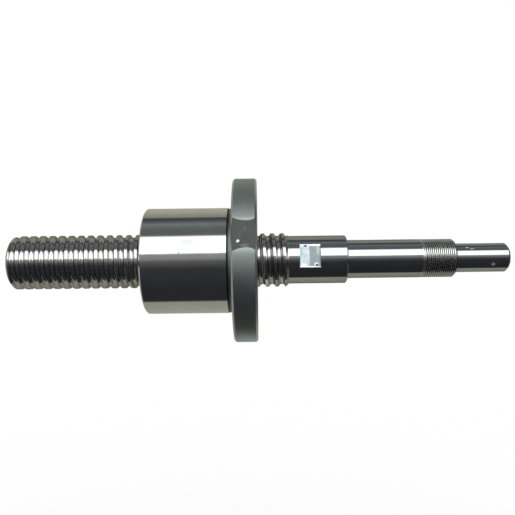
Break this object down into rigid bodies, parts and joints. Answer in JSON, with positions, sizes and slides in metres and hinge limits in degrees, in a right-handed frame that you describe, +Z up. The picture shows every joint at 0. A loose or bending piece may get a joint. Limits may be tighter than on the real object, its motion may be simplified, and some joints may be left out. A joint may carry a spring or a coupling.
{
  "type": "ball screw",
  "caption": "Ball screw with a ground helical ball thread, a flanged nut with recirculating return tubes, and machined end journals with a lock-nut thread.",
  "frame": {"origin": "on the shaft's axis, in the plane of the shoulder that the bearing seats against", "axes": "+X along the shaft towards its drive end, +Z up in the pictured pose, -Y towards the nut's oil port side"},
  "size_m": [0.257, 0.085, 0.085],
  "materials": {
    "screw_steel": "ground and polished",
    "nut_steel": "ground, with a turned flange",
    "wiper_plastic": "moulded",
    "ring_steel": "drawn spring wire",
    "tube_steel": "drawn tube",
    "clamp_steel": "zinc-coated sheet",
    "screw_black": "black oxide",
    "ball_steel": "polished"
  },
  "bodies": {
    "screw": {"screw_shaft": "screw_steel"},
    "snap_rings": {"snap_ring_front": "ring_steel", "snap_ring_rear": "ring_steel"},
    "nut": {"nut_body": "nut_steel", "wiper_front": "wiper_plastic", "wiper_rear": "wiper_plastic", "return_tube_front": "tube_steel", "return_tube_rear": "tube_steel", "tube_clamp": "clamp_steel", "clamp_screws": "screw_black", "clamp_washers": "clamp_steel", "load_balls_front": "ball_steel", "load_balls_rear": "ball_steel", "return_balls_front": "ball_steel", "return_balls_rear": "ball_steel"}
  },
  "joints": [
    {"name": "nut_travel", "type": "slide", "parent": "screw", "child": "snap_rings", "axis": [1, 0, 0], "range_m": [-0.06801, 0.01401]},
    {"name": "nut_turn", "type": "hinge", "parent": "snap_rings", "child": "nut", "pos_m": [0, 0, 0], "axis": [1, 0, 0], "range_deg": [-4896, 1008]}
  ],
  "couplings": [
    {"joint": "nut_travel", "follows": "nut_turn", "m_per_rad": 0.00079577}
  ]
}
